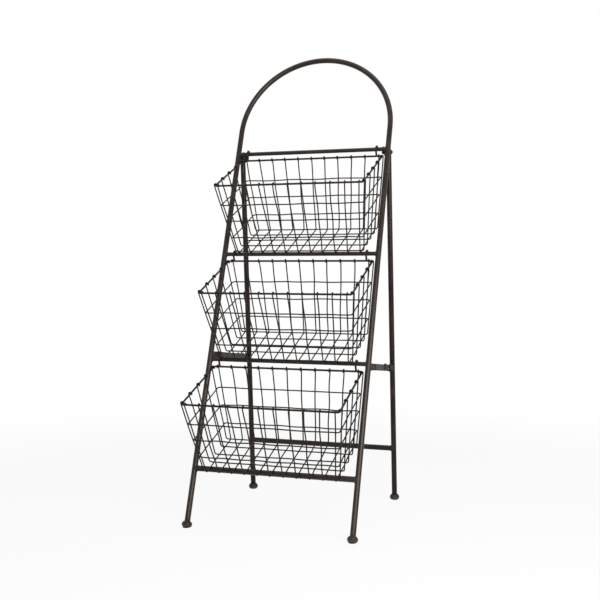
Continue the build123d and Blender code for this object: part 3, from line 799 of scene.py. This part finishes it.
def basketShapes():
    depth, back, halfWidth = basket["depth"], basket["back"], basket["halfWidth"]
    bottomHalf, bottomRear, bottomFront = basket["bottomHalf"], basket["bottomRear"], basket["bottomFront"]
    shares = np.linspace(-1, 1, basket["longWires"])
    longRim = shares * basket["longHalf"]
    longBottom = longRim * bottomHalf / halfWidth
    longSways = [swayOf(basket["longSway"]) for _ in shares]
    longWires = []
    for rimX, bottomX, sway, share in zip(longRim, longBottom, longSways, shares):
        height = np.hypot(rimX - bottomX, depth)
        inward = -1 if share > 0 else 1
        route = wrappedWire(
            (-bottomFront, 0), (-bottomRear, 0), (-rimFront, height), (-back, height),
            inward, -inward if abs(share) > 0.99 else inward,  # the outer two turn away from the hooks
        )
        rise = route[:, 1] / height
        x = bottomX + (rimX - bottomX) * rise + sway(route[:, 0], route[:, 1]) + route[:, 2]
        longWires.append(np.stack([x, route[:, 0], longLevel + depth * rise], -1))
    crossShare = np.linspace(0, 1, basket["crossWires"])
    crossRim = -back - basket["crossInset"] - crossShare * (basket["length"] - 2 * basket["crossInset"])
    flat = bottomFront - bottomRear - 2 * basket["bend"]
    crossBottom = -bottomRear - basket["bend"] - crossShare * flat
    rise = rimLevel - crossLevel
    crossSways = [swayOf(basket["crossSway"]) for _ in crossShare]
    crossWires = []
    for rimV, bottomV, sway in zip(crossRim, crossBottom, crossSways):
        height = np.hypot(rimV - bottomV, rise)
        inward = 1 if rimV < -back - basket["length"] / 2 else -1
        route = wrappedWire(
            (-bottomHalf, 0), (bottomHalf, 0), (-halfWidth, height),
            (halfWidth, height), inward, inward,
        )
        share = route[:, 1] / height
        v = bottomV + (rimV - bottomV) * share + sway(route[:, 0], route[:, 1]) + route[:, 2]
        crossWires.append(np.stack([route[:, 0], v, crossLevel + rise * share], -1))
    hoops, spots = [], []
    frontWall = ((-bottomFront, 0), (-rimFront, depth), 1)
    rearWall = ((-bottomRear, 0), (-back, depth), -1)
    sideWall = ((bottomHalf, 0), (halfWidth, rise), -1)
    for depthShare in basket["hoops"]:
        sway = swayOf(basket["hoopSway"])
        height = depth * (1 - depthShare)
        front, rear = wallAt(*frontWall, height, pitch), wallAt(*rearWall, height, pitch)
        half = wallAt(*sideWall, height - pitch, pitch)
        corners = [(half, front, 0), (half, rear, 0), (-half, rear, 0), (-half, front, 0)]
        route = roundedRoute(corners, basket["hoopCorner"], closed=True, step=7.0)
        route[:, 2] = longLevel + height + sway(route[:, 0], route[:, 1])
        hoops.append(route)
        for wall in (frontWall, rearWall):
            v = wallAt(*wall, height, pitch / 2)
            x = longBottom + (longRim - longBottom) * height / depth + swayed(longSways, v, height)
            spots.append(spotRow(x, v, longLevel + height + sway(x, v), (0, 1, 0)))
        v = crossBottom + (crossRim - crossBottom) * (height - pitch) / rise
        for way in (-1, 1):
            x = way * wallAt(*sideWall, height - pitch, pitch / 2)
            moved = v + swayed(crossSways, x, height)
            spots.append(spotRow(x, moved, longLevel + height + sway(x, moved), (1, 0, 0)))
    x = longBottom[:, None] + swayed(longSways, crossBottom, 0.0)
    v = crossBottom + swayed(crossSways, longBottom, 0.0).T
    spots.append(spotRow(x, v, (longLevel + crossLevel) / 2, (0, 0, 1)))

    corners = [(halfWidth, -rimFront), (halfWidth, -back), (-halfWidth, -back), (-halfWidth, -rimFront)]
    corners = np.pad(corners, ((0, 0), (0, 1)), constant_values=rimLevel)
    rim = roundedRoute(corners, basket["corner"], closed=True, step=6.0)
    hookX, middle, far = stand["hookHalf"], -basket["hookShift"], basket["hookReach"] + basket["hookShift"]
    crown = [hookX, middle, middle] + far * ringOf(np.linspace(0, np.pi, 29), [0, 1, 0], [0, 0, 1])
    tip = np.linspace([hookX, basket["hookReach"], -basket["hookTip"]], crown[0], 5)[:-1]
    leg = np.linspace(crown[-1], [hookX, -back, rimLevel + basket["hookFoot"]], 6)[1:]
    hook = np.concatenate([tip, crown, leg])
    return longWires, crossWires, hoops, spots, rim, hook


def spotWelds(spots):  # a small flattened bead where two wires cross
    made = []
    for centres, normal in spots:
        first = unit(np.roll(normal, 1))
        size = rng.uniform(*basket["spotSpread"], (len(centres), 1))
        axes = zip(basket["spot"], (first, np.cross(normal, first), np.array(normal)))
        made.append(blobs(centres, *(reach * size * axis for reach, axis in axes)))
    return made


def wireRub(path, level):  # rubbed most above a level, where the knots or the hook's crown are
    return np.where(path[:, 2] > level, basket["knotWear"], basket["wireWear"])


for tier, carrier, rest in zip(("top", "middle", "bottom"), bars, list(bars)[1:]):
    axis = bars[carrier]  # a basket hangs from one bar and rests on the next
    spacing = np.linalg.norm(axis - bars[rest])
    stack = basket["drop"] + basket["depth"] + basket["wire"] + basket["restGap"] + thickness[rest]
    lean = np.pi / 2 - np.arcsin(stack / spacing) - rad(stand["rake"])
    tilted = np.array([[1, 0, 0], [0, np.cos(lean), np.sin(lean)], [0, -np.sin(lean), np.cos(lean)]])
    longWires, crossWires, hoops, spots, rim, hook = basketShapes()

    def placed(shapes):
        return [{**shape, "points": axis + shape["points"] @ tilted} for shape in shapes]

    wire, thick = basket["wire"] + basket["coat"], basket["rim"] + basket["coat"]
    knots, hookRub = rimLevel - basket["knotDrop"], wireRub(hook, -basket["hookTip"])
    groups = {
        "rim": [tube(rim, thick, 18, closed=True, rub=basket["rimWear"])],
        "hooks": [tube(hook * [way, 1, 1], thick, 18, rolled=1.2, rub=hookRub) for way in (-1, 1)],
        "hoops": [tube(path, wire, closed=True, rub=basket["hoopWear"]) for path in hoops],
        "lengthwise_wires": [tube(path, wire, rub=wireRub(path, knots)) for path in longWires],
        "cross_wires": [tube(path, wire, rub=wireRub(path, knots)) for path in crossWires],
    }
    for group, shapes in groups.items():
        node = f"{tier}_basket_{group}"
        makePiece(node + "_drawn", placed(shapes), f"{tier}_basket", wirePaint, [node])
    beadLevel = rimLevel + basket["hookBeadRise"]
    hookFeet = np.array([[way * stand["hookHalf"], -basket["back"], beadLevel] for way in (-1, 1)])
    hookBeads = blobs(hookFeet, *np.diag(basket["hookBead"]), 9, 14)
    beads = placed([*spotWelds(spots), hookBeads])
    makePiece(f"{tier}_basket_spot_welds", beads, f"{tier}_basket", weldPaint)
print("baskets made")


def poseOf(wide, tall, back, place):  # a camera's or a lamp's own axes and place, as a matrix
    return Matrix(np.vstack([np.column_stack([wide, tall, back, place]), [0, 0, 0, 1]]).tolist())


# Camera of the photograph, fitted in its own pixels
shot = dict(
    pixels=600, focal=978.096, centreY=289.96, yaw=18.768, pitch=-1.601, roll=0.077,
    place=(0.92432, -2.66113, 0.73061), sensor=36.0,
)
yaw, nod, roll = rad(shot["yaw"]), rad(shot["pitch"]), rad(shot["roll"])
forward = np.array([-np.sin(yaw) * np.cos(nod), np.cos(yaw) * np.cos(nod), np.sin(nod)])
right = np.array([np.cos(yaw), np.sin(yaw), 0])
upward = np.cross(right, forward)
right, upward = np.cos(roll) * right - np.sin(roll) * upward, np.sin(roll) * right + np.cos(roll) * upward
lens = bpy.data.cameras.new("camera")
lens.sensor_width = shot["sensor"]
lens.lens = shot["focal"] / shot["pixels"] * shot["sensor"]
lens.shift_y = (shot["centreY"] - shot["pixels"] / 2) / shot["pixels"]
camera = addObject("camera", lens)
camera.matrix_world = poseOf(right, upward, -forward, shot["place"])
bpy.context.scene.camera = camera

# Floor and world: white to the eye and in reflections, plain light elsewhere; the floor keeps a soft shadow
studio = dict(
    floor=0.9, floorRough=0.9, floorGloss=0.1, reach=60.0, white=0.9, shadowTo=0.9,
    whiteFrom=2.4, ambient=0.25,
)
floorMesh = bpy.data.meshes.new("floor")
corners = studio["reach"] * np.array([(-1, -1, 0), (1, -1, 0), (1, 1, 0), (-1, 1, 0)])
floorMesh.from_pydata(corners.tolist(), [], [(0, 1, 2, 3)])
floor = addObject("floor", floorMesh)


def seenRays(tree):  # 1 for rays from the eye, straight or by a mirror or a glass
    rays = tree.nodes.new("ShaderNodeLightPath").outputs
    seen = mathNode(tree, "MAXIMUM", rays["Is Camera Ray"], rays["Is Glossy Ray"])
    return mathNode(tree, "MAXIMUM", seen, rays["Is Transmission Ray"])


floorPaint = bpy.data.materials.new("floor white")
floorPaint.use_nodes = True
floorTree = floorPaint.node_tree
floorNodes = floorTree.nodes
floorShader = floorNodes["Principled BSDF"]
feed(floorShader, {
    "Base Color": (*[studio["floor"]] * 3, 1), "Roughness": studio["floorRough"],
    "Specular IOR Level": studio["floorGloss"],
})
glow = floorNodes.new("ShaderNodeEmission")
away = floorNodes.new("ShaderNodeVectorMath")
away.operation = "LENGTH"
feed(away, {0: floorNodes.new("ShaderNodeTexCoord").outputs["Object"]})
fade = (studio["shadowTo"], studio["whiteFrom"])  # part shadow near the stand, plain white further off
share = rangeNode(floorTree, away.outputs["Value"], fade, (studio["white"], 1.0), "SMOOTHSTEP")
blend = floorNodes.new("ShaderNodeMixShader")
white = mathNode(floorTree, "MULTIPLY", share, seenRays(floorTree))
feed(blend, {0: white, 1: floorShader.outputs[0], 2: glow.outputs[0]})
feed(floorNodes["Material Output"], {"Surface": blend.outputs[0]})
floorMesh.materials.append(floorPaint)

world = bpy.data.worlds.new("studio")
bpy.context.scene.world = world
world.use_nodes = True
strength = rangeNode(world.node_tree, seenRays(world.node_tree), target=(studio["ambient"], 1.0))
feed(world.node_tree.nodes["Background"], {"Color": (1, 1, 1, 1), "Strength": strength})

# Soft lamps: a wide key beside the camera on its right, a weak fill overhead
lamps = {
    "key": dict(place=(1.45, -1.7, 1.3), aim=(0, 0, 0.6), size=(2.5, 1.2), power=57.0),
    "fill": dict(place=(0.0, -0.3, 3.0), aim=(0, 0, 0.8), size=(2.4, 1.0), power=15.0),
}
for name, lamp in lamps.items():
    light = bpy.data.lights.new(name, "AREA")
    light.shape = "RECTANGLE"
    light.size, light.size_y = lamp["size"]
    light.energy = lamp["power"]
    back = unit(np.array(lamp["place"]) - lamp["aim"])
    wide = unit(np.cross([0, 0, 1], back))
    addObject(name, light).matrix_world = poseOf(wide, np.cross(back, wide), back, lamp["place"])

bpy.context.scene.view_settings.view_transform = "Standard"
print("scene ready")
